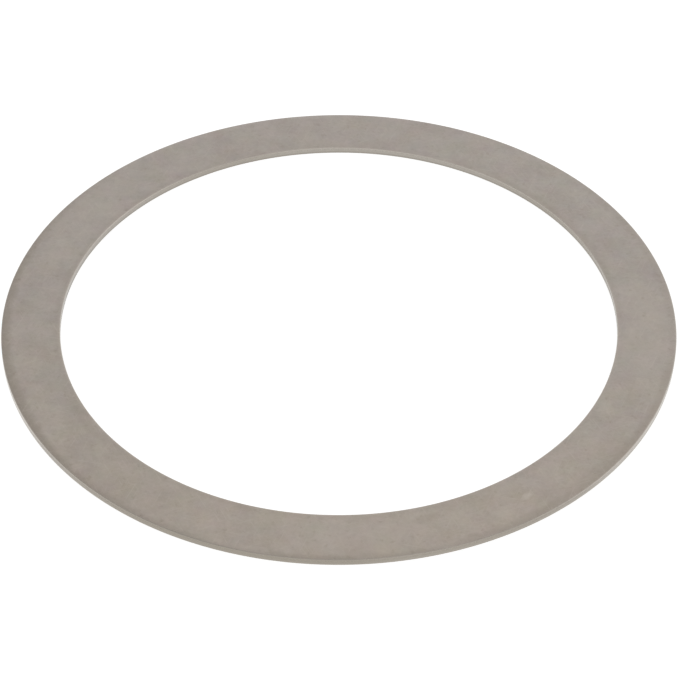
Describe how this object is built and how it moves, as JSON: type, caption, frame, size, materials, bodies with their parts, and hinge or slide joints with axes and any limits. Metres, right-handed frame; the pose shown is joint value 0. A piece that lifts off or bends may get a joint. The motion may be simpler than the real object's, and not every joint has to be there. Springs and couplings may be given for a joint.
{
  "type": "shim ring",
  "caption": "Thin flat steel ring with a wide plain bore, used as a shim that takes up end play between a bearing and a shoulder.",
  "frame": {"origin": "centre of the bore on the lower flat face, which is also the centre of the ring's base", "axes": "+Z along the bore axis, out of the face with the rolled edges; X and Y lie in the lower face, and the ring looks the same from every side"},
  "size_m": [0.115, 0.115, 0.0012],
  "materials": {
    "spring_steel": "cold rolled and tumbled steel, dull satin, warm grey, with faint fine scratches and mottling; cut walls brighter"
  },
  "bodies": {
    "root": {"shim_ring": "spring_steel"}
  },
  "joints": []
}
